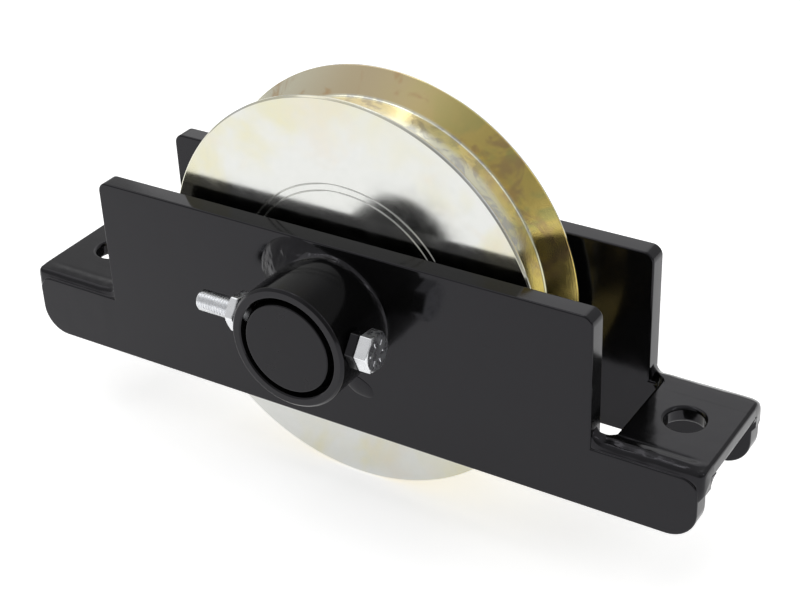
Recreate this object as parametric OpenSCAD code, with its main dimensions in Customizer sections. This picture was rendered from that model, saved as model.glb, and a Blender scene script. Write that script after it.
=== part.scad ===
// Under-gate wheel: a grooved steel wheel on two ball bearings, carried on a draw-out axle
// between two black painted side plates.
// X runs along the bracket, Y along the axle (front is -Y), +Z is up.
// The origin is the wheel's centre. All sizes are in millimetres.

/* [Wheel] */
// Outside diameter of the wheel over its two rims
wheel_d = 200; // [190:1:206]
// Width of the wheel between its flat faces
wheel_w = 40; // [40:0.5:42]
// Depth of the track groove below the rims
groove_depth = 12; // [8:0.5:16]
// Width of the flat bottom of the track groove
groove_bottom_w = 20.6; // [12:0.2:21]
// Width of the narrow land at the top of each rim
rim_land_w = 0.8; // [0.5:0.1:1.2]
// Chamfer on the outer corner of each rim
rim_chamfer = 0.8; // [0.4:0.1:1.5]
// Radius of the larger turned line on each face
outer_line_r = 57.8; // [50:0.1:75]
// Radius of the smaller turned line on each face
inner_line_r = 54.4; // [46:0.1:56]

/* [Side plates] */
// Thickness of each side plate
plate_t = 10; // [8:0.5:10]
// Clear gap between the two side plates
plate_gap = 50; // [46:0.5:54]
// Length of the low strip of each side plate
strip_l = 365; // [350:1:380]
// Length of the raised middle of each side plate
raised_l = 265; // [240:1:275]
// Height of the plates' top edge above the axle
plate_top = 35.5; // [34:0.5:45]
// Height of the low strip's top edge below the axle
strip_drop = 30.5; // [30:0.5:36]
// Height of the low strip
strip_h = 32; // [28:0.5:38]
// Radius of the raised middle's top corners
raised_corner_r = 5; // [2:0.5:10]
// Radius of the strip's lower outer corners
foot_corner_r = 14; // [6:0.5:15]
// Radius of the strip's upper outer corners
shoulder_corner_r = 8; // [3:0.5:10]

/* [Bridge plates] */
// Thickness of the two drilled plates that join the side plates
bridge_t = 8; // [6:0.5:10]
// Length of each bridge plate along the bracket
bridge_l = 45; // [40:0.5:45]
// Distance from the strip's end out to the bridge plate's end
bridge_overhang = 2; // [0:0.5:3]
// Height of the bridge plate's top above the strip's top edge
bridge_rise = 3.8; // [2:0.2:5]
// Distance between the two gate bolt holes
bolt_spacing = 322; // [316:1:326]
// Diameter of the two gate bolt holes, for M16 bolts
bolt_hole_d = 18; // [14:0.5:20]

/* [Axle] */
// Outside diameter of the tube that holds the axle
tube_d = 60; // [57:0.5:63]
// Bore of the tube, and the axle's large diameter
tube_bore_d = 50; // [48:0.5:50]
// Distance from the front plate's outer face to the tube's front end
tube_reach = 35; // [32:0.5:45]
// Diameter of the axle's turned-down front end
axle_nose_d = 44.2; // [40:0.2:46]
// Length of the axle's turned-down front end
axle_nose_l = 9; // [4:0.5:9]
// Diameter of the axle where the bearings sit
journal_d = 30; // [30]

/* [Locking bolt] */
// Thread size of the bolt that locks the axle in its tube
lock_d = 10; // [10]
// Length of the bolt below its head
lock_l = 90; // [85:1:110]
// Distance from the tube's front end back to the bolt
lock_setback = 11; // [11:0.5:16]
// Height of the bolt above the axle's centre
lock_lift = 4.5; // [0:0.5:6]
// Angle that the bolt's head and nuts were turned to when tightened
hex_turn = 7.5; // [0:0.5:30]

/* [Hidden] */

$fn = 96;
eps = 0.5;

// Plate levels and the wheel's outline, worked out from the sizes above.
wheel_r = wheel_d / 2;
face_y = wheel_w / 2;
inner_y = plate_gap / 2;
outer_y = inner_y + plate_t;
strip_top = -strip_drop;
strip_bottom = strip_top - strip_h;
bridge_top = strip_top + bridge_rise;
bridge_bottom = bridge_top - bridge_t;
bridge_end = strip_l / 2 + bridge_overhang;
bridge_start = bridge_end - bridge_l;
tube_front = -outer_y - tube_reach;
groove_r = wheel_r - groove_depth;
land_y = face_y - rim_chamfer - rim_land_w;
line_w = 0.7;
line_depth = 0.4;

// Ball bearings, size 6006: 30 mm bore, 55 mm outside, 13 mm wide.
bearing_d = 55;
bearing_w = 13;
ball_d = 7.1;
ball_count = 11;
pitch_r = 21.25;
race_r = 3.62;
inner_shoulder_r = 19.1;
outer_shoulder_r = 23.5;
seal_inner_r = 19.6;
seal_outer_r = 25.2;
seal_t = 0.8;
seal_inset = 0.35;
cage_inner_r = 20.0;
cage_outer_r = 22.6;
cage_half_w = 4.5;
pocket_gap = 0.15;
web_w = 5;
bearing_y = web_w / 2 + bearing_w / 2;

// Circlips for a 55 mm bore.
clip_t = 2;
clip_groove_w = 2.15;
clip_groove_d = 58;
clip_inner_r = 24.2;
clip_gap_angle = 34;
clip_y = web_w / 2 + bearing_w + clip_groove_w / 2;

// Metric M10 hexagon parts.
hex_af = 17;
head_h = 6.4;
thin_nut_h = 5;
lock_hole_d = 11;
hex_r = hex_af / 2 / cos(30);
lock_y = tube_front + lock_setback;
lock_head_x = tube_d / 2 + thin_nut_h;

// Spacers and weld sizes.
spacer_d = 37;
bead_leg = 4;
bead_reach = 8;
under_leg = 5;

// Turns a shape made about +Z so that it lies about the axle, with its base at y = 0.
module along_axle(y = 0) {
    translate([0, y, 0]) rotate([-90, 0, 0]) children();
}

// A plain ring about the axle, from y to y + length.
module ring(outer_r, inner_r, length, y) {
    along_axle(y) difference() {
        cylinder(r = outer_r, h = length);
        translate([0, 0, -eps]) cylinder(r = inner_r, h = length + 2 * eps);
    }
}

// A rectangle with its own radius at its lower and its upper corners.
module rounded_bar(half_l, low, high, low_r, high_r) {
    translate([-half_l, low + low_r]) square([2 * half_l, high - high_r - low - low_r]);
    translate([-half_l + low_r, low]) square([2 * (half_l - low_r), low_r + eps]);
    translate([-half_l + high_r, high - high_r - eps]) square([2 * (half_l - high_r), high_r + eps]);
    for (side = [-1, 1]) {
        translate([side * (half_l - low_r), low + low_r]) circle(r = low_r);
        translate([side * (half_l - high_r), high - high_r]) circle(r = high_r);
    }
}

// The outline of a side plate: a low strip with a raised middle.
module plate_outline() {
    rounded_bar(strip_l / 2, strip_bottom, strip_top, foot_corner_r, shoulder_corner_r);
    rounded_bar(raised_l / 2, strip_bottom + eps, plate_top, eps, raised_corner_r);
}

// A side plate whose inner face is at y = 0, growing towards +Y, with one round hole on the axle.
module side_plate(hole_d) {
    translate([0, plate_t, 0]) rotate([90, 0, 0]) linear_extrude(plate_t) difference() {
        plate_outline();
        circle(d = hole_d);
    }
}

module front_side_plate() {
    color([0.16, 0.16, 0.18]) translate([0, -outer_y, 0]) side_plate(tube_d);
}

module rear_side_plate() {
    color([0.16, 0.16, 0.18]) translate([0, inner_y, 0]) side_plate(journal_d);
}

// A drilled plate between the side plates, on one end of the bracket.
module bridge_plate(side) {
    middle_x = (bridge_start + bridge_end) / 2;
    difference() {
        translate([side * middle_x - bridge_l / 2, -inner_y, bridge_bottom])
            cube([bridge_l, plate_gap, bridge_t]);
        translate([side * bolt_spacing / 2, 0, bridge_bottom - eps])
            cylinder(d = bolt_hole_d, h = bridge_t + 2 * eps);
    }
}

module left_bridge_plate() {
    color([0.2, 0.2, 0.22]) bridge_plate(-1);
}

module right_bridge_plate() {
    color([0.2, 0.2, 0.22]) bridge_plate(1);
}

// Two beads on the strips' top edges, from the raised part out along one bridge plate, and two
// fillets in the corners under that plate.
module bridge_welds(side) {
    length = strip_l / 2 - shoulder_corner_r + 1 - raised_l / 2;
    start_x = side > 0 ? raised_l / 2 : -raised_l / 2 - length;
    for (face = [-1, 1])
        translate([start_x, face * inner_y, strip_top])
            rotate([90, 0, 90])
                linear_extrude(length)
                    polygon([[0, 0], [face * (plate_t - 1.5), 0], [face * (plate_t - 3), bridge_rise * 0.6],
                        [face * 4, bridge_rise * 0.95], [0, bridge_rise]]);
    for (face = [-1, 1])
        translate([side > 0 ? bridge_start : -strip_l / 2, face * inner_y, bridge_bottom])
            rotate([90, 0, 90])
                linear_extrude(bridge_l - bridge_overhang)
                    polygon([[0, 0], [-face * under_leg, 0], [0, -under_leg]]);
}

module left_bridge_welds() {
    color([0.18, 0.18, 0.2]) bridge_welds(-1);
}

module right_bridge_welds() {
    color([0.18, 0.18, 0.2]) bridge_welds(1);
}

// The tube that holds the axle. It passes through the front plate and is drilled for the locking bolt.
module axle_tube() {
    rim = 1.2;
    color([0.17, 0.17, 0.19]) difference() {
        along_axle(tube_front) rotate_extrude() polygon([
            [tube_bore_d / 2 + rim / 2, 0], [tube_d / 2 - rim, 0], [tube_d / 2, rim],
            [tube_d / 2, tube_reach + plate_t], [tube_bore_d / 2, tube_reach + plate_t],
            [tube_bore_d / 2, rim / 2]]);
        lock_hole(lock_hole_d);
    }
}

// The way of the locking bolt through the tube and the axle.
module lock_hole(d) {
    translate([-tube_d, lock_y, lock_lift]) rotate([0, 90, 0]) cylinder(d = d, h = 2 * tube_d);
}

// The fillet weld round the tube, on the front plate's outer face.
module tube_weld() {
    color([0.18, 0.18, 0.2]) along_axle(-outer_y - bead_reach) rotate_extrude() polygon([
        [tube_d / 2, 0], [tube_d / 2 + bead_leg * 0.35, bead_reach * 0.25],
        [tube_d / 2 + bead_leg * 0.75, bead_reach * 0.65],
        [tube_d / 2 + bead_leg, bead_reach], [tube_d / 2, bead_reach]]);
}

module axle_pin() {
    chamfer = 1.5;
    nose_r = axle_nose_d / 2;
    body_end = tube_reach + plate_t;
    pin_end = body_end + plate_gap + plate_t;
    color([0.15, 0.15, 0.17]) difference() {
        along_axle(tube_front) rotate_extrude() polygon([
            [0, 0], [nose_r - 0.6, 0], [nose_r, 0.6], [nose_r, axle_nose_l],
            [tube_bore_d / 2, axle_nose_l + 1], [tube_bore_d / 2, body_end],
            [journal_d / 2, body_end], [journal_d / 2, pin_end - chamfer],
            [journal_d / 2 - chamfer, pin_end], [0, pin_end]]);
        lock_hole(lock_hole_d);
    }
}

// A hexagonal prism along +X with chamfered corners at its far end, and at both ends if wanted.
module hex_block(height, both_ends = false) {
    corner = hex_r - hex_af / 2 * 0.95;
    intersection() {
        rotate([0, 90, 0]) rotate([0, 0, 30 - hex_turn]) cylinder(r = hex_r, h = height, $fn = 6);
        rotate([0, 90, 0]) rotate_extrude() polygon([
            [0, 0], [both_ends ? hex_r - corner : hex_r + eps, 0], [hex_r + eps, both_ends ? corner * 0.58 : eps],
            [hex_r + eps, height - corner * 0.58], [hex_r - corner, height], [0, height]]);
    }
}

// Moves a part of the locking bolt to its place, x along the bolt.
module on_lock_bolt(x) {
    translate([x, lock_y, lock_lift]) children();
}

module weld_nut() {
    color([0.18, 0.18, 0.2]) on_lock_bolt(tube_d / 2) difference() {
        hex_block(thin_nut_h);
        translate([-eps, 0, 0]) rotate([0, 90, 0]) cylinder(d = lock_d, h = thin_nut_h + 2 * eps);
    }
}

module cross_bolt() {
    point = 1.2;
    color([0.78, 0.79, 0.8]) {
        on_lock_bolt(lock_head_x) hex_block(head_h);
        on_lock_bolt(lock_head_x - lock_l) rotate([0, 90, 0]) rotate_extrude() polygon([
            [0, 0], [lock_d / 2 - point, 0], [lock_d / 2, point], [lock_d / 2, lock_l + eps], [0, lock_l + eps]]);
    }
}

module lock_nut() {
    color([0.8, 0.81, 0.82]) on_lock_bolt(-tube_d / 2 - thin_nut_h) difference() {
        hex_block(thin_nut_h, true);
        translate([-eps, 0, 0]) rotate([0, 90, 0]) cylinder(d = lock_d, h = thin_nut_h + 2 * eps);
    }
}

// The wheel, with its track groove, its bearing seats and its circlip grooves.
module wheel() {
    edge_r = wheel_r - rim_chamfer;
    seat_r = bearing_d / 2;
    web_r = seat_r - 3.5;
    color([0.86, 0.85, 0.74]) along_axle() difference() {
        rotate_extrude() polygon([
            [web_r, -web_w / 2], [seat_r, -web_w / 2], [seat_r, -face_y + 0.5], [seat_r + 0.5, -face_y],
            [edge_r, -face_y], [wheel_r, -face_y + rim_chamfer], [wheel_r, -land_y],
            [groove_r, -groove_bottom_w / 2], [groove_r, groove_bottom_w / 2],
            [wheel_r, land_y], [wheel_r, face_y - rim_chamfer], [edge_r, face_y],
            [seat_r + 0.5, face_y], [seat_r, face_y - 0.5], [seat_r, web_w / 2], [web_r, web_w / 2]]);
        for (side = [-1, 1]) {
            translate([0, 0, side * clip_y - clip_groove_w / 2])
                cylinder(d = clip_groove_d, h = clip_groove_w);
            for (line_r = [outer_line_r, inner_line_r]) rotate_extrude() polygon([
                [line_r - line_w / 2, side * (face_y + 0.01)], [line_r + line_w / 2, side * (face_y + 0.01)],
                [line_r, side * (face_y - line_depth)]]);
        }
    }
}

// A circlip with its gap at the top and one plier hole in each end.
module circlip(side) {
    lug_r = clip_inner_r - 1;
    lug_angle = clip_gap_angle / 2 + 8;
    color([0.3, 0.3, 0.32]) along_axle(side * clip_y - clip_t / 2) difference() {
        union() {
            difference() {
                cylinder(d = clip_groove_d - 0.4, h = clip_t);
                translate([0, 0, -eps]) cylinder(r = clip_inner_r, h = clip_t + 2 * eps);
            }
            for (end = [-1, 1]) rotate(-90 + end * lug_angle)
                translate([lug_r, 0, 0]) cylinder(r = 2.6, h = clip_t);
        }
        translate([0, 0, -eps]) linear_extrude(clip_t + 2 * eps) polygon([
            [0, 0], [60 * sin(-clip_gap_angle / 2), -60], [60 * sin(clip_gap_angle / 2), -60]]);
        for (end = [-1, 1]) rotate(-90 + end * lug_angle)
            translate([lug_r, 0, -eps]) cylinder(r = 1.25, h = clip_t + 2 * eps);
    }
}

module front_circlip() {
    circlip(-1);
}

module rear_circlip() {
    circlip(1);
}

// The torus that rolls out both ball tracks of a bearing.
module ball_track() {
    rotate_extrude() translate([pitch_r, 0]) circle(r = race_r);
}

module inner_ring(side) {
    color([0.72, 0.73, 0.75]) along_axle(side * bearing_y) difference() {
        translate([0, 0, -bearing_w / 2]) cylinder(r = inner_shoulder_r, h = bearing_w);
        translate([0, 0, -bearing_w / 2 - eps]) cylinder(d = journal_d, h = bearing_w + 2 * eps);
        ball_track();
    }
}

module outer_ring(side) {
    color([0.7, 0.71, 0.73]) along_axle(side * bearing_y) difference() {
        translate([0, 0, -bearing_w / 2]) cylinder(d = bearing_d, h = bearing_w);
        translate([0, 0, -bearing_w / 2 - eps]) cylinder(r = outer_shoulder_r, h = bearing_w + 2 * eps);
        ball_track();
        for (end = [0, 1]) mirror([0, 0, end]) translate([0, 0, bearing_w / 2 - seal_inset - seal_t])
            cylinder(r = seal_outer_r, h = seal_t + seal_inset + eps);
    }
}

module balls(side) {
    color([0.85, 0.86, 0.88]) along_axle(side * bearing_y)
        for (i = [0 : ball_count - 1]) rotate(i * 360 / ball_count)
            translate([pitch_r, 0, 0]) sphere(d = ball_d);
}

module cage(side) {
    color([0.62, 0.55, 0.4]) along_axle(side * bearing_y) difference() {
        translate([0, 0, -cage_half_w]) cylinder(r = cage_outer_r, h = 2 * cage_half_w);
        translate([0, 0, -cage_half_w - eps]) cylinder(r = cage_inner_r, h = 2 * (cage_half_w + eps));
        for (i = [0 : ball_count - 1]) rotate(i * 360 / ball_count) rotate([0, 90, 0])
            cylinder(d = ball_d + 2 * pocket_gap, h = cage_outer_r + eps);
    }
}

// The two thin rubber seals of one bearing, held in the outer ring.
module seals(side) {
    color([0.12, 0.12, 0.13]) for (end = [-1, 1])
        ring(seal_outer_r, seal_inner_r, seal_t,
            side * bearing_y + end * (bearing_w / 2 - seal_inset - seal_t / 2) - seal_t / 2);
}

module front_inner_ring() {
    inner_ring(-1);
}

module rear_inner_ring() {
    inner_ring(1);
}

module front_outer_ring() {
    outer_ring(-1);
}

module rear_outer_ring() {
    outer_ring(1);
}

module front_balls() {
    balls(-1);
}

module rear_balls() {
    balls(1);
}

module front_cage() {
    cage(-1);
}

module rear_cage() {
    cage(1);
}

module front_seals() {
    seals(-1);
}

module rear_seals() {
    seals(1);
}

// The spacers that keep the wheel in the middle of the gap and the inner rings apart.
module front_spacer() {
    length = inner_y - web_w / 2 - bearing_w;
    color([0.7, 0.71, 0.72]) ring(spacer_d / 2, journal_d / 2, length, -inner_y);
}

module rear_spacer() {
    length = inner_y - web_w / 2 - bearing_w;
    color([0.7, 0.71, 0.72]) ring(spacer_d / 2, journal_d / 2, length, inner_y - length);
}

module middle_spacer() {
    color([0.7, 0.71, 0.72]) ring(spacer_d / 2, journal_d / 2, web_w, -web_w / 2);
}

wheel();
front_side_plate();
rear_side_plate();
left_bridge_plate();
right_bridge_plate();
axle_tube();
tube_weld();
left_bridge_welds();
right_bridge_welds();
axle_pin();
weld_nut();
cross_bolt();
lock_nut();
front_spacer();
rear_spacer();
middle_spacer();
front_inner_ring();
rear_inner_ring();
front_outer_ring();
rear_outer_ring();
front_balls();
rear_balls();
front_cage();
rear_cage();
front_seals();
rear_seals();
front_circlip();
rear_circlip();
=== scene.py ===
"""Looks of the gate wheel: a zinc plated track wheel in a black painted steel bracket.

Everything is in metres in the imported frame: X along the bracket, Y along the axle with the front
at -Y, Z up, and the origin in the wheel's centre.
"""

import math

import bmesh
import bpy
from mathutils import Matrix, Vector, noise


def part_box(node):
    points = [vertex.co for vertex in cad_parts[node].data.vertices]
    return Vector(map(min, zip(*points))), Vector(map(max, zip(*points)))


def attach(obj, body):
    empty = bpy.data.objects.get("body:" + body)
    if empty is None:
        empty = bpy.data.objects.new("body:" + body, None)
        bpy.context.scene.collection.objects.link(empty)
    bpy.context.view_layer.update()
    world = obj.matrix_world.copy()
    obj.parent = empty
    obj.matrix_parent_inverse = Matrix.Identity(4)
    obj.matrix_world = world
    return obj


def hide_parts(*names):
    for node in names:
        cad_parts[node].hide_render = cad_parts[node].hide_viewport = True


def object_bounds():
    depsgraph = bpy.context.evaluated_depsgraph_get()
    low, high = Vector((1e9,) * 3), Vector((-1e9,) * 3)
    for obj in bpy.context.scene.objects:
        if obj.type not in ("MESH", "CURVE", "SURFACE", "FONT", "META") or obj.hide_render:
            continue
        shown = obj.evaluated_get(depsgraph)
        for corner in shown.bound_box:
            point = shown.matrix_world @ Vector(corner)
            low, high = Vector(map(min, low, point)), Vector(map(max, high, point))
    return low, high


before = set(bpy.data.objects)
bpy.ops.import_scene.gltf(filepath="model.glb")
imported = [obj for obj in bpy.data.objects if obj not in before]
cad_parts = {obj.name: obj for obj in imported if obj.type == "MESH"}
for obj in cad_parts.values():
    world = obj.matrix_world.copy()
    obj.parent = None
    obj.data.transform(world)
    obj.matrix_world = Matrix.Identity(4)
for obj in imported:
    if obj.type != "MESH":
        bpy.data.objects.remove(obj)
cad_low, cad_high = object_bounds()

MM = 0.001

# Measures of the CAD model that no box gives, in millimetres.
BEARING_SEAT_R = 27.5
WEB_BORE_R = 24.0
WEB_HALF = 2.5
CLIP_GROOVE_R = 29.0
CLIP_NEAR = 15.5
CLIP_WIDTH = 2.15
FACE_LINE_RADII = (54.4, 57.8)
TUBE_BORE_R = 25.0
LOCK_HOLE_R = 5.5
AXLE_NOSE_R = 22.1
AXLE_NOSE_LENGTH = 9.0
AXLE_SHOULDER_Y = -25.0
JOURNAL_R = 15.0
BALL_COUNT = 11
BOLT_HEAD_X = 35.0

# The groove is drawn 0.4 mm deeper, and 0.3 mm wider on each side, than in the CAD model.
GROOVE_DEPTH = 12.4
GROOVE_HALF = 10.6

# Colours of the plated wheel, as linear red, green and blue.
ZINC_PALE = (0.665, 0.670, 0.645)
ZINC_YELLOW = (0.655, 0.632, 0.470)
ZINC_PINK = (0.665, 0.615, 0.525)
ZINC_GREY = (0.600, 0.615, 0.585)
# The pale groove colour is painted light: the lit top of the groove's floor and the highlight painted on
# the flanks' upper left.
GROOVE_PALE_PAINTED_LIGHT = (0.84, 0.83, 0.68)
GROOVE_GREEN = (0.62, 0.61, 0.42)
GROOVE_HAZE = (0.50, 0.50, 0.50)
# The gold is the zinc's yellow, deepened by painted reflection between the groove's walls.
GROOVE_GOLD_AND_REFLECTION = (0.84, 0.66, 0.20)
GROOVE_BROWN = (0.60, 0.50, 0.32)
GROOVE_OLIVE = (0.58, 0.57, 0.22)
GROOVE_RUST = (0.56, 0.38, 0.20)

# The paint swells near the bridge plates, from the first distance along X to the second.
SWELL_FROM = 134.0
SWELL_TO = 142.0
PAINT_TINT = (0.93, 0.91, 1.0, 1.0)

# Merging distance for a bmesh's vertices, in metres.
WELD_GAP = 1e-6

# ---------------------------------------------------------------- shader helpers


def add(tree, kind, inputs=None, **settings):
    """Adds a shader node, with its settings, and with each input either set or linked."""
    made = tree.nodes.new("ShaderNode" + kind)
    for name, value in settings.items():
        setattr(made, name, value)
    for name, value in (inputs or {}).items():
        if isinstance(value, bpy.types.NodeSocket):
            tree.links.new(value, made.inputs[name])
        else:
            made.inputs[name].default_value = value
    return made


def calc(tree, operation, first, second=0.0):
    """A sum, product or other Math node of one or two values."""
    return add(tree, "Math", {0: first, 1: second}, operation=operation).outputs[0]


def cloud(tree, place, size, detail=3.0, roughness=0.5, distortion=0.0):
    """Noise with features about size millimetres across."""
    inputs = {"Vector": place, "Scale": 1.0 / size, "Detail": detail}
    inputs["Roughness"] = roughness
    inputs["Distortion"] = distortion
    return add(tree, "TexNoise", inputs).outputs[0]


def lines(tree, along, spacing, detail=2.0):
    """Noise that changes only with one coordinate, in millimetres, for tool marks."""
    inputs = {"W": along, "Scale": 1.0 / spacing, "Detail": detail}
    return add(tree, "TexNoise", inputs, noise_dimensions="1D").outputs[0]


def remap(tree, value, low, high, to_low, to_high):
    """Moves a value smoothly from the range low to high into the range to_low to to_high."""
    inputs = {"Value": value, "From Min": low, "From Max": high}
    inputs["To Min"] = to_low
    inputs["To Max"] = to_high
    return add(tree, "MapRange", inputs, interpolation_type="SMOOTHSTEP").outputs[0]


def mix(tree, share, first, second):
    """Colour between first and second. A plain colour is given as three numbers."""
    inputs = {0: share}
    inputs[6] = first if isinstance(first, bpy.types.NodeSocket) else (*first, 1.0)
    inputs[7] = second if isinstance(second, bpy.types.NodeSocket) else (*second, 1.0)
    return add(tree, "Mix", inputs, data_type="RGBA").outputs[2]


def bump(tree, height, depth, under=None):
    """Surface relief, depth in millimetres, on top of the relief called under."""
    inputs = {"Height": height, "Distance": depth * MM, "Strength": 1.0}
    if under is not None:
        inputs["Normal"] = under
    return add(tree, "Bump", inputs).outputs[0]


def start_material(name):
    """Returns a new material, its tree, its shader and the place on the piece in millimetres."""
    material = bpy.data.materials.new(name)
    material.use_nodes = True
    tree = material.node_tree
    shader = tree.nodes["Principled BSDF"]
    coordinates = add(tree, "TexCoord")
    inputs = {"Vector": coordinates.outputs["Object"], "Scale": 1.0 / MM}
    place = add(tree, "VectorMath", inputs, operation="SCALE").outputs[0]
    return material, tree, shader, place


def shifted(tree, place, offset):
    """The same place moved by an offset, for a second pattern that doesn't follow the first."""
    return add(tree, "VectorMath", {0: place, 1: offset}, operation="ADD").outputs[0]


def wire(tree, shader, colour, roughness, normal):
    """Links the three looks that every material works out."""
    tree.links.new(colour, shader.inputs["Base Color"])
    tree.links.new(roughness, shader.inputs["Roughness"])
    tree.links.new(normal, shader.inputs["Normal"])


# ---------------------------------------------------------------- materials


def paint(name, dark, light, smooth, rough, peel_depth, wave_depth, gleam=0.30):
    """Sprayed satin paint: orange peel, slow waves, and faint patches of colour and gloss."""
    material, tree, shader, place = start_material(name)
    patches = cloud(tree, place, 38.0, 4.0, 0.6)
    dust = cloud(tree, place, 0.9, 1.0)
    colour = mix(tree, patches, dark, light)
    specks = remap(tree, dust, 0.72, 0.8, 0.0, 0.35)
    colour = mix(tree, specks, colour, [3.0 * part for part in light])
    gloss = cloud(tree, place, 11.0, 5.0, 0.65)
    roughness = remap(tree, gloss, 0.3, 0.7, smooth, rough)
    along = calc(tree, "ABSOLUTE", add(tree, "SeparateXYZ", {"Vector": place}).outputs[0])
    buckled = remap(tree, along, SWELL_FROM, SWELL_TO, 1.0, 3.0)
    swell = calc(tree, "MULTIPLY", cloud(tree, place, 13.0, 2.0), buckled)
    waves = bump(tree, swell, wave_depth)
    peel = bump(tree, cloud(tree, place, 1.7, 2.0, 0.4), peel_depth, waves)
    wire(tree, shader, colour, roughness, peel)
    shader.inputs["Specular IOR Level"].default_value = gleam
    shader.inputs["Specular Tint"].default_value = PAINT_TINT
    return material


def plated(name, dull, bright, smooth, rough, grain, depth):
    """Bare or plated steel: cloudy colour, cloudy gloss and a fine grain."""
    material, tree, shader, place = start_material(name)
    colour = mix(tree, cloud(tree, place, 6.0, 4.0, 0.6), dull, bright)
    gloss = cloud(tree, place, 2.5, 4.0, 0.6)
    roughness = remap(tree, gloss, 0.3, 0.7, smooth, rough)
    normal = bump(tree, cloud(tree, place, grain, 3.0, 0.6), depth)
    wire(tree, shader, colour, roughness, normal)
    shader.inputs["Metallic"].default_value = 1.0
    return material


def turned(name, dull, bright, smooth, rough, depth):
    """Steel turned or ground about the axle, with fine marks that follow the radius."""
    material, tree, shader, place = start_material(name)
    parts = add(tree, "SeparateXYZ", {"Vector": place}).outputs
    radius = radius_of(tree, parts)
    marks = lines(tree, calc(tree, "ADD", radius, parts[1]), 0.35)
    colour = mix(tree, cloud(tree, place, 5.0, 4.0, 0.6), dull, bright)
    roughness = remap(tree, cloud(tree, place, 3.0, 3.0), 0.3, 0.7, smooth, rough)
    wire(tree, shader, colour, roughness, bump(tree, marks, depth))
    shader.inputs["Metallic"].default_value = 1.0
    return material


def rubber(name):
    """Black seal rubber, dusty and dull."""
    material, tree, shader, place = start_material(name)
    colour = mix(tree, cloud(tree, place, 4.0, 4.0), (0.010, 0.010, 0.011), (0.022, 0.021, 0.020))
    roughness = remap(tree, cloud(tree, place, 2.0, 3.0), 0.3, 0.7, 0.5, 0.72)
    wire(tree, shader, colour, roughness, bump(tree, cloud(tree, place, 0.4, 3.0), 0.02))
    return material


def radius_of(tree, parts):
    """Distance from the axle, in millimetres."""
    across = calc(tree, "MULTIPLY", parts[0], parts[0])
    upward = calc(tree, "MULTIPLY", parts[2], parts[2])
    return calc(tree, "SQRT", calc(tree, "ADD", across, upward))


def wheel_face_colour(tree, place, radius):
    """Yellow passivated zinc: nearly neutral inside, with large soft yellow clouds near the rim."""
    clouds = cloud(tree, place, 46.0, 3.0, 0.5, 0.6)
    outward = remap(tree, radius, 50.0, 98.0, -0.10, 0.06)
    warm = remap(tree, calc(tree, "ADD", clouds, outward), 0.44, 0.70, 0.0, 1.0)
    moved = shifted(tree, place, (90.0, 40.0, 170.0))
    pink = remap(tree, cloud(tree, moved, 30.0, 3.0, 0.5, 0.5), 0.54, 0.74, 0.0, 0.45)
    face = mix(tree, warm, ZINC_PALE, ZINC_YELLOW)
    face = mix(tree, pink, face, ZINC_PINK)
    mottle = remap(tree, cloud(tree, place, 3.5, 4.0, 0.6), 0.35, 0.7, 0.0, 0.22)
    return mix(tree, mottle, face, ZINC_GREY)


def groove_colour(tree, place, side, parts):
    """The groove: a mottled floor, pale at the top and darker green below as painted reflection and shade,
    and flanks clouded with green and brown that turn from brown to a gold deepened by painted reflection
    across the wheel, with a painted highlight at their upper left.
    """
    streaks = cloud(tree, place, 9.0, 4.0, 0.6, 0.6)
    # Painted reflection and shade: the floor is pale towards the top and darker green lower down.
    low = remap(tree, parts[2], 20.0, 92.0, 1.0, 0.0)
    floor = mix(tree, low, GROOVE_PALE_PAINTED_LIGHT, GROOVE_GREEN)
    haze = remap(tree, streaks, 0.46, 0.62, 0.0, 0.75)
    floor = mix(tree, haze, floor, GROOVE_HAZE)
    # Painted light and reflection: across the wheel the flanks turn from brown to a gold deepened as
    # reflection between the walls, and their upper left gets a pale painted highlight.
    slant = calc(tree, "SUBTRACT", parts[0], calc(tree, "MULTIPLY", parts[2], 0.35))
    gold_reflection_share = remap(tree, slant, -45.0, 45.0, 0.0, 1.0)
    flank = mix(tree, gold_reflection_share, GROOVE_BROWN, GROOVE_GOLD_AND_REFLECTION)
    painted_highlight_share = remap(tree, slant, -95.0, -40.0, 0.8, 0.0)
    flank = mix(tree, painted_highlight_share, flank, GROOVE_PALE_PAINTED_LIGHT)
    moved = shifted(tree, place, (31.0, 7.0, 66.0))
    green = remap(tree, cloud(tree, moved, 24.0, 3.0, 0.6, 0.8), 0.5, 0.64, 0.0, 0.7)
    rust = remap(tree, cloud(tree, place, 19.0, 3.0, 0.6, 0.8), 0.53, 0.68, 0.0, 0.7)
    flank = mix(tree, calc(tree, "MULTIPLY", green, gold_reflection_share), flank, GROOVE_OLIVE)
    flank = mix(tree, rust, flank, GROOVE_RUST)
    on_flank = remap(tree, side, 10.7, 11.5, 0.0, 1.0)
    return mix(tree, on_flank, floor, flank)


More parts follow.
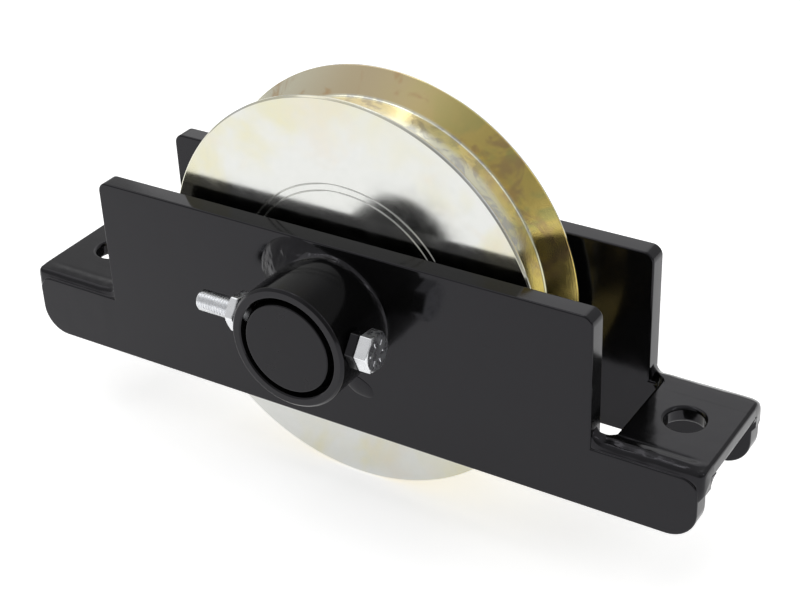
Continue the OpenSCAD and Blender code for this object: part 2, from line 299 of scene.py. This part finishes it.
def wheel_zinc(name):
    """Turned and plated wheel: mirror-like faces, tool marks and chatter in the groove."""
    material, tree, shader, place = start_material(name)
    parts = add(tree, "SeparateXYZ", {"Vector": place}).outputs
    radius = radius_of(tree, parts)
    side = calc(tree, "ABSOLUTE", parts[1])
    groove = calc(tree, "LESS_THAN", side, wheel_half - 1.5)
    face = wheel_face_colour(tree, place, radius)
    colour = mix(tree, groove, face, groove_colour(tree, place, side, parts))
    gloss = cloud(tree, place, 8.0, 4.0, 0.6)
    face_rough = remap(tree, gloss, 0.3, 0.7, 0.12, 0.18)
    roughness = calc(tree, "ADD", face_rough, calc(tree, "MULTIPLY", groove, 0.04))
    rings = lines(tree, calc(tree, "ADD", radius, side), 0.5)
    ring_share = calc(tree, "ADD", calc(tree, "MULTIPLY", groove, 0.9), 0.1)
    turning = bump(tree, calc(tree, "MULTIPLY", rings, ring_share), 0.01)
    angle = calc(tree, "ARCTAN2", parts[2], parts[0])
    chatter = lines(tree, calc(tree, "MULTIPLY", angle, 95.0), 0.8)
    where = remap(tree, cloud(tree, place, 34.0, 2.0), 0.45, 0.62, 0.0, 1.0)
    chatter = calc(tree, "MULTIPLY", calc(tree, "MULTIPLY", chatter, where), groove)
    normal = bump(tree, chatter, 0.012, turning)
    normal = bump(tree, cloud(tree, place, 26.0, 2.0), 0.02, normal)
    wire(tree, shader, colour, roughness, normal)
    shader.inputs["Metallic"].default_value = 1.0
    return material


# ---------------------------------------------------------------- mesh helpers


def publish(name, shape, material, body, nodes=(), sharp=35.0):
    """Turns a bmesh into a smooth shaded piece that rides on a body and stands for CAD nodes."""
    bmesh.ops.recalc_face_normals(shape, faces=shape.faces)
    mesh = bpy.data.meshes.new(name)
    shape.to_mesh(mesh)
    shape.free()
    mesh.shade_smooth()
    mesh.set_sharp_from_angle(angle=math.radians(sharp))
    mesh.materials.append(material)
    piece = bpy.data.objects.new(name, mesh)
    bpy.context.scene.collection.objects.link(piece)
    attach(piece, body)
    if nodes:
        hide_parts(*nodes)
    return piece


def grid_faces(shape, rows, closed_rows=False):
    """Joins rows of vertices, each row a closed loop, with quads."""
    pairs = list(zip(rows, rows[1:]))
    if closed_rows:
        pairs.append((rows[-1], rows[0]))
    for low, high in pairs:
        count = len(low)
        for i in range(count):
            j = (i + 1) % count
            shape.faces.new((low[i], low[j], high[j], high[i]))


def rounded(corners, steps=4, support=0.03):
    """Rounds the corners of a closed outline. A corner is (radius, y, rounding), in millimetres."""
    outline = []
    count = len(corners)
    for i, (r, y, rounding) in enumerate(corners):
        here = Vector((r, y))
        before = Vector(corners[i - 1][:2]) - here
        after = Vector(corners[(i + 1) % count][:2]) - here
        if rounding == 0:
            outline.append(here)
            continue
        reach = rounding / math.tan(before.angle(after) / 2)
        reach = min(reach, 0.45 * before.length, 0.45 * after.length)
        first = here + before.normalized() * reach
        last = here + after.normalized() * reach
        outline.append(first + before.normalized() * support)
        for step in range(steps + 1):
            t = step / steps
            outline.append((1 - t) ** 2 * first + 2 * t * (1 - t) * here + t * t * last)
        outline.append(last + after.normalized() * support)
    return outline


def revolved(corners, steps):
    """A bmesh turned about the axle from a closed outline in millimetres."""
    shape = bmesh.new()
    outline = rounded(corners)
    rings = []
    for i in range(steps):
        angle = 2 * math.pi * i / steps
        spoke = (math.cos(angle), math.sin(angle))
        ring = [shape.verts.new((p.x * spoke[0] * MM, p.y * MM, p.x * spoke[1] * MM)) for p in outline]
        rings.append(ring)
    grid_faces(shape, rings, closed_rows=True)
    bmesh.ops.remove_doubles(shape, verts=shape.verts, dist=WELD_GAP)
    return shape


def joined_cad(node):
    """A bmesh of a CAD node, with its corners merged."""
    shape = bmesh.new()
    shape.from_mesh(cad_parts[node].data)
    bmesh.ops.remove_doubles(shape, verts=shape.verts, dist=WELD_GAP)
    return shape


def make_flats_whole(shape):
    """Turns the triangles of each flat face back into one face."""
    flat = math.radians(0.5)
    bmesh.ops.dissolve_limit(shape, angle_limit=flat, verts=shape.verts, edges=shape.edges)


def soften(shape, width, segments=3, sharpest=30.0):
    """Rounds every hard edge of a bmesh to about width millimetres."""
    limit = math.radians(sharpest)
    hard = [e for e in shape.edges if len(e.link_faces) == 2 and e.calc_face_angle() > limit]
    settings = {"offset": width * MM, "segments": segments, "profile": 0.5, "affect": "EDGES"}
    bmesh.ops.bevel(shape, geom=hard, clamp_overlap=False, **settings)


def even_normals(piece):
    """Shades flat faces flat and keeps the shading's change within the rounded edges."""
    weighted = piece.modifiers.new("even_normals", "WEIGHTED_NORMAL")
    weighted.keep_sharp = True
    return weighted


def soft_piece(node, width, material, segments=3):
    """Shows a CAD node as a copy of itself with worn edges."""
    shape = joined_cad(node)
    make_flats_whole(shape)
    soften(shape, width, segments)
    piece = publish(node + "_look", shape, material, "frame", [node], sharp=60.0)
    even_normals(piece).weight = 100


def wobble(x, y, z, size):
    """Smooth noise from about -1 to 1 with features size millimetres across."""
    return noise.noise(Vector((x / size, y / size, z / size)))


# ---------------------------------------------------------------- the wheel


def bore_corners(half):
    """The near half of the wheel's inside, from the web out to the face: seat and circlip groove."""
    seat = BEARING_SEAT_R
    clip_far = CLIP_NEAR + CLIP_WIDTH
    corners = [(WEB_BORE_R, -WEB_HALF, 0.3), (seat, -WEB_HALF, 0)]
    corners += [(seat, -CLIP_NEAR, 0.1), (CLIP_GROOVE_R, -CLIP_NEAR, 0.1)]
    corners += [(CLIP_GROOVE_R, -clip_far, 0.1), (seat, -clip_far, 0.1)]
    corners += [(seat, -half + 0.5, 0.1), (seat + 0.5, -half, 0.1)]
    return corners


def wheel_corners(half, rim):
    """The wheel's outline with the roundings that turning and plating leave."""
    land = half - 1.8
    line_half, line_depth = 0.4, 0.45
    near = bore_corners(half)
    for line_r in FACE_LINE_RADII:
        near.append((line_r - line_half, -half, 0.08))
        near.append((line_r, -half + line_depth, 0.05))
        near.append((line_r + line_half, -half, 0.08))
    near += [(rim - 0.8, -half, 0.35), (rim, -half + 0.8, 0.4), (rim, -land, 0.4)]
    near.append((rim - GROOVE_DEPTH, -GROOVE_HALF, 1.3))
    far = [(r, -y, rounding) for r, y, rounding in reversed(near)]
    return near + far


def build_wheel(material):
    """The wheel, turned in 288 steps so that its outline looks round."""
    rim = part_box("wheel")[1].z / MM
    shape = revolved(wheel_corners(wheel_half, rim), 288)
    publish("track_wheel", shape, material, "wheel", ["wheel"], sharp=50.0)


# ---------------------------------------------------------------- tube and axle


def helper_object(name, shape):
    """Links a bmesh as an object that is used for a moment only."""
    mesh = bpy.data.meshes.new(name)
    shape.to_mesh(mesh)
    shape.free()
    item = bpy.data.objects.new(name, mesh)
    bpy.context.scene.collection.objects.link(item)
    return item


def drill(shape):
    """Drills the locking bolt's hole along X through a bmesh."""
    work = helper_object("drill_work", shape)
    centre = Matrix.Translation((0, lock_y * MM, lock_z * MM))
    settings = {"segments": 64, "radius1": LOCK_HOLE_R * MM, "radius2": LOCK_HOLE_R * MM, "depth": 0.1}
    settings["matrix"] = centre @ Matrix.Rotation(math.pi / 2, 4, "Y")
    bit = bmesh.new()
    bmesh.ops.create_cone(bit, cap_ends=True, **settings)
    tool = helper_object("drill_bit", bit)
    cut = work.modifiers.new("cut", "BOOLEAN")
    cut.operation = "DIFFERENCE"
    cut.solver = "EXACT"
    cut.object = tool
    bpy.context.view_layer.update()
    done = bmesh.new()
    done.from_mesh(work.evaluated_get(bpy.context.evaluated_depsgraph_get()).data)
    for item in (work, tool):
        bpy.data.objects.remove(item)
    return done


def build_tube(material):
    """The axle's tube, with its outer rim well rounded."""
    low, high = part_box("axle_tube")
    front, back, outer, bore = low.y / MM, high.y / MM, high.x / MM, TUBE_BORE_R
    corners = [(outer - 1.2, front, 0.7), (outer, front + 1.2, 0.9), (outer, back, 0.2)]
    corners += [(bore, back, 0.2), (bore, front + 0.6, 0.4), (bore + 0.6, front, 0.5)]
    shape = drill(revolved(corners, 144))
    publish("tube", shape, material, "frame", ["axle_tube"])


def build_axle(material):
    """The axle: a nose that leaves the dark ring gap, the body in the tube, and the journal."""
    low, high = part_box("axle_pin")
    front, back, body_r = low.y / MM, high.y / MM, high.x / MM
    nose_end = front + AXLE_NOSE_LENGTH
    corners = [(0.0, front, 0), (AXLE_NOSE_R, front, 0.7), (AXLE_NOSE_R, nose_end, 0.3)]
    corners += [(body_r, nose_end + 1.0, 0.3), (body_r, AXLE_SHOULDER_Y, 0.4)]
    corners += [(JOURNAL_R, AXLE_SHOULDER_Y, 0.3), (JOURNAL_R, back - 1.5, 0.5)]
    corners += [(JOURNAL_R - 1.5, back, 0.5), (0.0, back, 0)]
    shape = drill(revolved(corners, 144))
    publish("axle", shape, material, "frame", ["axle_pin"])


# ---------------------------------------------------------------- the locking bolt

# An M10 thread, in millimetres.
PITCH = 1.5
THREAD_R = 5.0
THREAD_DEPTH = 0.92
THREAD_END = 25.0
TIP_CHAMFER = 1.2
SHANK_R = 4.9


def thread_radius(along, turn):
    """The thread's radius, along millimetres from the bolt's end, turn from 0 to 1."""
    crest_share, flank_share = 0.12, 0.66
    phase = (along / PITCH - turn) % 1.0
    flank = min(1.0, max(0.0, (abs(2 * phase - 1) - crest_share) / flank_share))
    tip = THREAD_R - max(0.0, TIP_CHAMFER - along)
    return min(THREAD_R - THREAD_DEPTH * flank, tip)


def thread_rings(shape, start_x, rows, columns):
    """Rings of vertices along the thread, in the order from its end inwards."""
    rings = []
    for row in range(rows + 1):
        along = THREAD_END * row / rows
        ring = []
        for column in range(columns):
            turn = column / columns
            r = thread_radius(along, turn)
            y = lock_y + r * math.cos(2 * math.pi * turn)
            z = lock_z + r * math.sin(2 * math.pi * turn)
            ring.append(shape.verts.new(((start_x + along) * MM, y * MM, z * MM)))
        rings.append(ring)
    return rings


def shank_ring(shape, x, columns):
    """One ring of vertices round the plain shank at x."""
    ring = []
    for column in range(columns):
        angle = 2 * math.pi * column / columns
        y = lock_y + SHANK_R * math.cos(angle)
        z = lock_z + SHANK_R * math.sin(angle)
        ring.append(shape.verts.new((x * MM, y * MM, z * MM)))
    return ring


def bolt_head(node):
    """The head alone, cut from the CAD bolt, with the cut closed again."""
    shape = joined_cad(node)
    shank = [v for v in shape.verts if v.co.x < (BOLT_HEAD_X - 0.1) * MM]
    bmesh.ops.delete(shape, geom=shank, context="VERTS")
    rim = [e for e in shape.edges if e.is_boundary]
    bmesh.ops.holes_fill(shape, edges=rim)
    make_flats_whole(shape)
    soften(shape, 0.28, 2, 20.0)
    return shape


def add_dashes(shape, x, count):
    """Plain raised dashes round the head, where a real bolt has its marks."""
    thick, wide, long, ring_r, start = 0.5, 0.75, 2.3, 4.9, 0.35
    size = Matrix.Diagonal((thick * MM, wide * MM, long * MM, 1.0))
    outward = Matrix.Translation((0, 0, ring_r * MM))
    for i in range(count):
        angle = 2 * math.pi * (i + start) / count
        turn = Matrix.Translation((x * MM, lock_y * MM, lock_z * MM)) @ Matrix.Rotation(angle, 4, "X")
        made = bmesh.ops.create_cube(shape, size=1.0, matrix=turn @ outward @ size)
        edges = list(dict.fromkeys(e for v in made["verts"] for e in v.link_edges))
        bmesh.ops.bevel(shape, geom=edges, offset=0.12 * MM, segments=2, profile=0.5, affect="EDGES")


def build_bolt(material):
    """The cross bolt: the CAD's head with rounded edges, and a cut thread on a plain shank."""
    low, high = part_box("cross_bolt")
    start_x = low.x / MM
    rows, columns = 240, 60
    shape = bolt_head("cross_bolt")
    add_dashes(shape, high.x / MM, 6)
    rings = thread_rings(shape, start_x, rows, columns)
    rings.append(shank_ring(shape, start_x + THREAD_END + 1.0, columns))
    rings.append(shank_ring(shape, BOLT_HEAD_X, columns))
    grid_faces(shape, rings)
    shape.faces.new(rings[0])
    shape.faces.new(rings[-1])
    piece = publish("lock_bolt", shape, material, "frame", ["cross_bolt"], sharp=42.0)
    even_normals(piece)


# ---------------------------------------------------------------- welds

# The strip and the bridge plate that a seam joins, on the right and in front, in millimetres.
STRIP_TOP = -30.5
STRIP_END = 182.5
STRIP_CORNER_R = 8.0
BRIDGE_TOP = -26.7
BRIDGE_UNDER = -34.7
BRIDGE_START = 139.5
SEAM_START = 132.2
SEAM_END = 184.44
SEAM_INNER_Y = 25.3
SEAM_VALLEY_Y = 25.6
SEAM_RIDGE_Y = 29.3
FEATHER_Y = 17.0
TOE_Y = 34.45

# The tube's weld starts just inside the front plate's face. Its mound is in degrees round the tube.
WELD_BASE_Y = -34.95
MOUND_AT = 138.0


def shoulder_drop(x):
    """How far the strip's rounded shoulder has fallen at x, in millimetres."""
    straight_end = STRIP_END - STRIP_CORNER_R
    over = min(max(0.0, x - straight_end), STRIP_CORNER_R * 0.95)
    return STRIP_CORNER_R - math.sqrt(STRIP_CORNER_R**2 - over**2)


def smooth(value, low, high):
    """Rises smoothly from 0 at low to 1 at high."""
    t = min(1.0, max(0.0, (value - low) / (high - low)))
    return t * t * (3.0 - 2.0 * t)


def arc_drop(value, start, radius):
    """How far a rounded edge that begins at start has fallen at value."""
    over = min(radius, max(0.0, value - start))
    return radius - math.sqrt(radius**2 - over**2)


def seam_inner_edge(x):
    """The seam's feather edge on the bridge plate, or its edge over the gap, as (y, z)."""
    on_bridge = smooth(x, BRIDGE_START - 0.5, BRIDGE_START + 3.5)
    corner = 4.2 * smooth(x, SEAM_START + 1.5, BRIDGE_START)
    y = (SEAM_INNER_Y - corner) * (1 - on_bridge) + FEATHER_Y * on_bridge
    z = (STRIP_TOP - 1.6) * (1 - on_bridge) + BRIDGE_TOP * on_bridge
    return y, z, on_bridge


def seam_crown(x, y, ridge, seed):
    """The seam's upper surface: flush with the bridge plate, with a low wandering ridge."""
    ridge_y = SEAM_RIDGE_Y + 0.5 * wobble(x, seed, 0.0, 11.0)
    fade = 1 - smooth(x, 172.0, 183.0)
    crest = ridge * fade * math.exp(-(((y - ridge_y) / 2.3) ** 2))
    valley = -0.35 * ridge * fade * math.exp(-(((y - SEAM_VALLEY_Y) / 1.2) ** 2))
    lump = (0.28 + 0.8 * (1 - smooth(x, 134.0, 146.0))) * wobble(x, 0.7 * y, seed, 6.5)
    climb = 3.6 * math.exp(-max(0.0, x - 132.5) / 1.5)
    bulk = lump * (0.4 + ridge) + climb
    return BRIDGE_TOP + 0.03 + crest + valley + bulk * smooth(y, 24.5, 28.0)


def seam_section(x, ridge, roll, seed, columns):
    """One closed slice of a seam, from its feather edge round to its toe on the strip."""
    inner_y, inner_z, on_bridge = seam_inner_edge(x)
    plan_r = 2.5 + 0.45 * roll
    toe_y = TOE_Y - arc_drop(x, SEAM_END + 0.3 - plan_r, plan_r)
    wall = 0.5 if roll < 4 else 0.0
    fall = roll if roll < 4 else 4.3
    toe_z = STRIP_TOP - 0.15 - shoulder_drop(x)
    past = min(1.0, max(0.0, (x - STRIP_END + 0.1) / 2.0))
    toe_z -= (5.0 - 3.0 * past) * smooth(x, STRIP_END - 0.4, STRIP_END)
    end_drop = arc_drop(x, SEAM_END - 1.8, 1.8)
    points = []
    for column in range(columns):
        t = column / (columns - 1)
        y = inner_y + (toe_y - wall - inner_y) * (0.45 * t + 0.55 * math.sin(0.5 * math.pi * t))
        z = seam_crown(x, y, ridge, seed) - end_drop - 0.12 * roll * smooth(y, 25.5, 33.0)
        z -= arc_drop(y, toe_y - wall - roll, roll) * fall / roll
        rise = smooth(y, inner_y, inner_y + 4.0) if on_bridge < 1 else 1.0
        blend = on_bridge + (1 - on_bridge) * rise
        points.append((y, z * blend + inner_z * (1 - blend)))
    low_z = min(points[-1][1] - 0.3, toe_z)
    points.append((toe_y - 0.5 * wall, 0.5 * (points[-1][1] + low_z)))
    points.append((toe_y, low_z))
    points.append((toe_y - 0.8, low_z - 0.9))
    points.append((SEAM_INNER_Y, low_z - 1.0))
    points.append((SEAM_INNER_Y, min(BRIDGE_UNDER + 1.5, inner_z - 1.0)))
    points.append((max(inner_y + 0.3, 18.0), min(inner_z - 0.8, BRIDGE_TOP - 1.2 - end_drop)))
    return points


def add_seam(shape, side, face, ridge, roll):
    """A seam over a bridge plate's long edge, from the raised middle out to the plate's end."""
    rows, columns = 170, 34
    slices = []
    for row in range(rows + 1):
        share = row / rows
        x = SEAM_START + (SEAM_END - SEAM_START) * (0.8 * share + 0.2 * math.sin(0.5 * math.pi * share))
        points = seam_section(x, ridge, roll, 40.0 * side + 90.0 * face, columns)
        slices.append([shape.verts.new((side * x * MM, face * y * MM, z * MM)) for y, z in points])
    grid_faces(shape, slices)
    shape.faces.new(slices[0])
    shape.faces.new(slices[-1])


def add_under_seam(shape, side, face, across, down):
    """The hollow fillet in the corner under a bridge plate."""
    start, end = BRIDGE_START + 0.3, SEAM_END
    rows, columns = 80, 14
    slices = []
    for row in range(rows + 1):
        x = start + (end - start) * row / rows
        close = math.sqrt(min(1.0, (x - start + 0.2) / 3.0))
        slope = 1 - 0.45 * smooth(x, STRIP_END - 0.3, SEAM_END)
        lump = 1 + 0.1 * wobble(x, side, face, 5.0)
        points = [(SEAM_VALLEY_Y + 0.1, BRIDGE_UNDER + 1.4)]
        for column in range(columns):
            t = column / (columns - 1)
            y = SEAM_VALLEY_Y - (0.4 + across * lump * close) * (1 - t) ** 1.8
            z = BRIDGE_UNDER + 0.2 - down * lump * close * slope * t**1.8
            points.append((y, z))
        slices.append([shape.verts.new((side * x * MM, face * y * MM, z * MM)) for y, z in points])
    grid_faces(shape, slices)
    shape.faces.new(slices[0])
    shape.faces.new(slices[-1])


def build_seams(side, node, front_ridge, material):
    """One end's four welds. The rear pair is flatter and rounder than the front pair."""
    front, rear = -1, 1
    shape = bmesh.new()
    add_seam(shape, side, front, front_ridge, roll=2.4)
    add_under_seam(shape, side, front, across=6.0, down=9.0)
    add_seam(shape, side, rear, 0.05, roll=8.5)
    add_under_seam(shape, side, rear, across=4.5, down=5.0)
    publish(node + "_look", shape, material, "frame", [node], sharp=70.0)


def bulge(degrees, middle, width):
    """A smooth hump round the tube: 1 at middle, 0 beyond width, all in degrees."""
    away = abs((degrees - middle + 180) % 360 - 180) / width
    return 0.5 + 0.5 * math.cos(math.pi * away) if away < 1 else 0.0


def ring_weld_size(degrees):
    """How far the weld reaches out on the plate and up the tube at this angle, in millimetres."""
    top_left = bulge(degrees, MOUND_AT, 52.0) ** 0.8
    low_right = bulge(degrees, 290.0, 34.0)
    out = 1.3 + 11.2 * top_left + 1.5 * low_right
    up = 4.0 + 5.5 * top_left
    return out, up


def ring_weld_point(degrees, t, tube_r, face_y):
    """A point on the tube's weld. t runs from the plate at 0 to the tube at 1."""
    out, up = ring_weld_size(degrees)
    angle = math.radians(degrees)
    seed = tube_r * angle
    mound = bulge(degrees, MOUND_AT, 56.0)
    swell = math.sin(math.pi * t)
    lump = (0.14 + 0.8 * mound) * wobble(seed, 9.0 * t, 3.0, 7.0)
    fine = (0.08 + 0.26 * mound) * wobble(seed, 9.0 * t, 8.0, 1.9)
    ripple = 0.016 * math.sin(2 * math.pi * (seed / 1.4 + 0.9 * t))
    push = (lump + fine + ripple) * swell
    r = tube_r + out * (1 - t) ** (1.1 + 0.5 * (1 - mound)) + push * 0.5
    y = face_y - up * t ** (1.3 - 0.55 * mound) - push
    plate_top = 35.2
    return r * math.cos(angle), y, min(r * math.sin(angle), plate_top)


def add_drop(shape, centre, size, lean):
    """A drop of weld metal: a lumpy ball squeezed to size, leaning by lean degrees."""
    turn = Matrix.Translation([part * MM for part in centre]) @ Matrix.Rotation(math.radians(lean), 4, "Y")
    grow = Matrix.Diagonal((size[0] * MM, size[1] * MM, size[2] * MM, 1.0))
    made = bmesh.ops.create_icosphere(shape, subdivisions=4, radius=1.0, matrix=turn @ grow)
    for vert in made["verts"]:
        away = vert.co - Vector(centre) * MM
        x, y, z = vert.co / MM
        vert.co += away * 0.1 * wobble(x, y, z, 4.5)


def build_ring_weld(material):
    """The weld round the tube, with a drop beside its mound and a flat one at the lower right."""
    tube_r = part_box("axle_tube")[1].x / MM - 0.05
    inner = tube_r - 0.3
    steps, columns = 480, 18
    shape = bmesh.new()
    rings = []
    for step in range(steps):
        degrees = 360.0 * step / steps
        angle = math.radians(degrees)
        shares = [i / (columns - 1) for i in range(columns)]
        points = [ring_weld_point(degrees, t, tube_r, WELD_BASE_Y) for t in shares]
        points.append((inner * math.cos(angle), WELD_BASE_Y + 0.2, inner * math.sin(angle)))
        rings.append([shape.verts.new([part * MM for part in p]) for p in points])
    grid_faces(shape, rings, closed_rows=True)
    add_drop(shape, centre=(-31.6, -35.6, 18.8), size=(4.2, 2.3, 8.6), lean=14.0)
    add_drop(shape, centre=(14.0, -34.7, -36.0), size=(8.0, 1.0, 5.0), lean=20.0)
    publish("tube_weld_look", shape, material, "frame", ["tube_weld"], sharp=70.0)


# ---------------------------------------------------------------- the whole object


def assign(nodes, material):
    """Gives a CAD node that stays on show its material."""
    for name in nodes:
        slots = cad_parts[name].data.materials
        for index in range(max(1, len(slots))):
            if index < len(slots):
                slots[index] = material
            else:
                slots.append(material)


def build_balls(node, body, material):
    """A bearing's balls, spread round their pitch circle with the first one towards +X."""
    low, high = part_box(node)
    ball_r = (high.y - low.y) / 2.0
    pitch_r = high.x - ball_r
    shape = bmesh.new()
    for i in range(BALL_COUNT):
        angle = 2.0 * math.pi * i / BALL_COUNT
        place = (pitch_r * math.cos(angle), low.y + ball_r, pitch_r * math.sin(angle))
        matrix = Matrix.Translation(place)
        bmesh.ops.create_icosphere(shape, subdivisions=4, radius=ball_r, matrix=matrix)
    publish(node + "_look", shape, material, body, [node])


def build_hidden_parts():
    """The bearings, circlips and spacers, which keep their CAD shapes apart from the balls."""
    steel = turned("bearing_steel", (0.56, 0.56, 0.57), (0.68, 0.68, 0.68), 0.14, 0.26, 0.006)
    ball = plated("ball_steel", (0.66, 0.66, 0.67), (0.74, 0.74, 0.75), 0.06, 0.14, 0.8, 0.002)
    brass = plated("cage_brass", (0.52, 0.38, 0.17), (0.66, 0.50, 0.24), 0.28, 0.42, 0.7, 0.008)
    spring = plated("spring_steel", (0.05, 0.05, 0.055), (0.10, 0.10, 0.11), 0.3, 0.5, 0.6, 0.01)
    spacer = turned("spacer_steel", (0.48, 0.48, 0.48), (0.60, 0.60, 0.59), 0.25, 0.4, 0.01)
    ends = ("front", "rear")
    assign([end + "_inner_ring" for end in ends], steel)
    assign([end + "_outer_ring" for end in ends], steel)
    for end in ends:
        build_balls(end + "_balls", end + "_rollers", ball)
    assign([end + "_cage" for end in ends], brass)
    assign([end + "_seals" for end in ends], rubber("seal_rubber"))
    assign([end + "_circlip" for end in ends], spring)
    assign(["front_spacer", "rear_spacer", "middle_spacer"], spacer)


def build_bracket():
    """The plates, the tube, the axle, the welds and the welded nut, all painted black."""
    dark, light = (0.0026, 0.0026, 0.0027), (0.0038, 0.0038, 0.0039)
    plate_paint = paint("bracket_paint", dark, light, 0.09, 0.15, 0.003, 0.05)
    dark, light = (0.0022, 0.0022, 0.0023), (0.0034, 0.0034, 0.0035)
    bead_paint = paint("weld_paint", dark, light, 0.12, 0.2, 0.004, 0.04)
    dark, light = (0.0024, 0.0024, 0.0025), (0.0036, 0.0036, 0.0037)
    pin_paint = paint("axle_paint", dark, light, 0.18, 0.28, 0.006, 0.02, gleam=0.25)
    for node in ("front_side_plate", "rear_side_plate"):
        soft_piece(node, 0.9, plate_paint)
    for node in ("left_bridge_plate", "right_bridge_plate"):
        soft_piece(node, 1.8, plate_paint, segments=4)
    build_tube(plate_paint)
    build_axle(pin_paint)
    build_ring_weld(bead_paint)
    build_seams(-1, "left_bridge_welds", 0.3, bead_paint)
    build_seams(1, "right_bridge_welds", 0.75, bead_paint)
    soft_piece("weld_nut", 0.5, bead_paint)


def build_fasteners():
    """The bright bolt and its lock nut."""
    zinc = plated("bolt_zinc", (0.70, 0.71, 0.73), (0.90, 0.91, 0.93), 0.22, 0.38, 0.5, 0.006)
    build_bolt(zinc)
    soft_piece("lock_nut", 0.6, zinc)


# ---------------------------------------------------------------- studio

CREW_SIDE = (0.47, -0.72, 0.52)
SKY_LOW = 0.55
SKY_HIGH = 0.72
FLOOR_GLOW = 0.56


def build_floor():
    """A plain pale floor just under the wheel. It glows a little, as a lit white sweep does."""
    mesh = bpy.data.meshes.new("floor")
    half, z = 6.0, cad_low.z - 0.0004
    corners = [(-half, -half, z), (half, -half, z), (half, half, z), (-half, half, z)]
    mesh.from_pydata(corners, [], [(0, 1, 2, 3)])
    floor = bpy.data.objects.new("floor", mesh)
    bpy.context.scene.collection.objects.link(floor)
    material, tree, shader, place = start_material("floor_white")
    colour = mix(tree, cloud(tree, place, 300.0, 2.0), (0.86, 0.86, 0.86), (0.88, 0.88, 0.88))
    tree.links.new(colour, shader.inputs["Base Color"])
    shader.inputs["Roughness"].default_value = 0.8
    shader.inputs["Emission Color"].default_value = (1.0, 1.0, 1.0, 1.0)
    shader.inputs["Emission Strength"].default_value = FLOOR_GLOW
    mesh.materials.append(material)


def softbox(name, place, width, height, power):
    """A rectangular light that faces the wheel's centre."""
    data = bpy.data.lights.new(name, "AREA")
    data.shape = "RECTANGLE"
    data.size = width
    data.size_y = height
    data.energy = power
    lamp = bpy.data.objects.new(name, data)
    lamp.location = place
    lamp.rotation_euler = (-Vector(place)).to_track_quat("-Z", "Y").to_euler()
    bpy.context.scene.collection.objects.link(lamp)


def build_sky():
    """Soft light from all round, weaker towards the horizon and where the crew stands."""
    world = bpy.data.worlds.new("studio")
    bpy.context.scene.world = world
    world.use_nodes = True
    tree = world.node_tree
    direction = add(tree, "TexCoord").outputs["Generated"]
    height = add(tree, "SeparateXYZ", {"Vector": direction}).outputs[2]
    strength = remap(tree, height, -0.05, 0.7, SKY_LOW, SKY_HIGH)
    inputs = {0: direction, 1: CREW_SIDE}
    towards = add(tree, "VectorMath", inputs, operation="DOT_PRODUCT").outputs["Value"]
    shade = remap(tree, towards, 0.7, 0.98, 1.0, 0.5)
    strength = calc(tree, "MULTIPLY", strength, shade)
    back = tree.nodes["Background"]
    back.inputs["Color"].default_value = (1.0, 1.0, 1.0, 1.0)
    tree.links.new(strength, back.inputs["Strength"])


def build_camera():
    """The photo's point of view: where it stands, which way it looks, and its small roll."""
    azimuth, elevation, roll = math.radians(32.972), math.radians(31.184), math.radians(-2.547)
    level = math.cos(elevation)
    back = Vector((math.sin(azimuth) * level, -math.cos(azimuth) * level, math.sin(elevation)))
    right = (-back).cross(Vector((0, 0, 1))).normalized()
    up = right.cross(-back)
    rolled_right = math.cos(roll) * right + math.sin(roll) * up
    rolled_up = -math.sin(roll) * right + math.cos(roll) * up
    turn = Matrix((rolled_right, rolled_up, back)).transposed().to_4x4()
    data = bpy.data.cameras.new("camera")
    data.sensor_width = 36.0
    data.lens = 77.04
    camera = bpy.data.objects.new("camera", data)
    camera.matrix_world = Matrix.Translation((0.3901, -0.5770, 0.4088)) @ turn
    bpy.context.scene.collection.objects.link(camera)
    bpy.context.scene.camera = camera


def build_studio():
    """The floor, the lights and the camera."""
    build_floor()
    build_sky()
    softbox("key", (-0.8, -0.1, 1.35), 1.0, 1.1, 2.6)
    softbox("fill", (0.9, -0.4, 1.4), 1.4, 1.4, 1.0)
    softbox("back", (-0.6, 1.3, 1.0), 1.2, 0.8, 2.0)
    softbox("overhead_strip", (-0.3, 0.1, 1.4), 0.9, 0.12, 1.0)
    softbox("side_strip", (1.2, 0.0, 0.9), 0.12, 0.9, 1.0)
    build_camera()
    bpy.context.scene.view_settings.view_transform = "Standard"


wheel_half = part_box("wheel")[1].y / MM
bolt_low, bolt_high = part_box("weld_nut")
lock_y = (bolt_low.y + bolt_high.y) / 2 / MM
lock_z = (bolt_low.z + bolt_high.z) / 2 / MM

build_wheel(wheel_zinc("wheel_zinc"))
build_bracket()
build_fasteners()
build_hidden_parts()
build_studio()
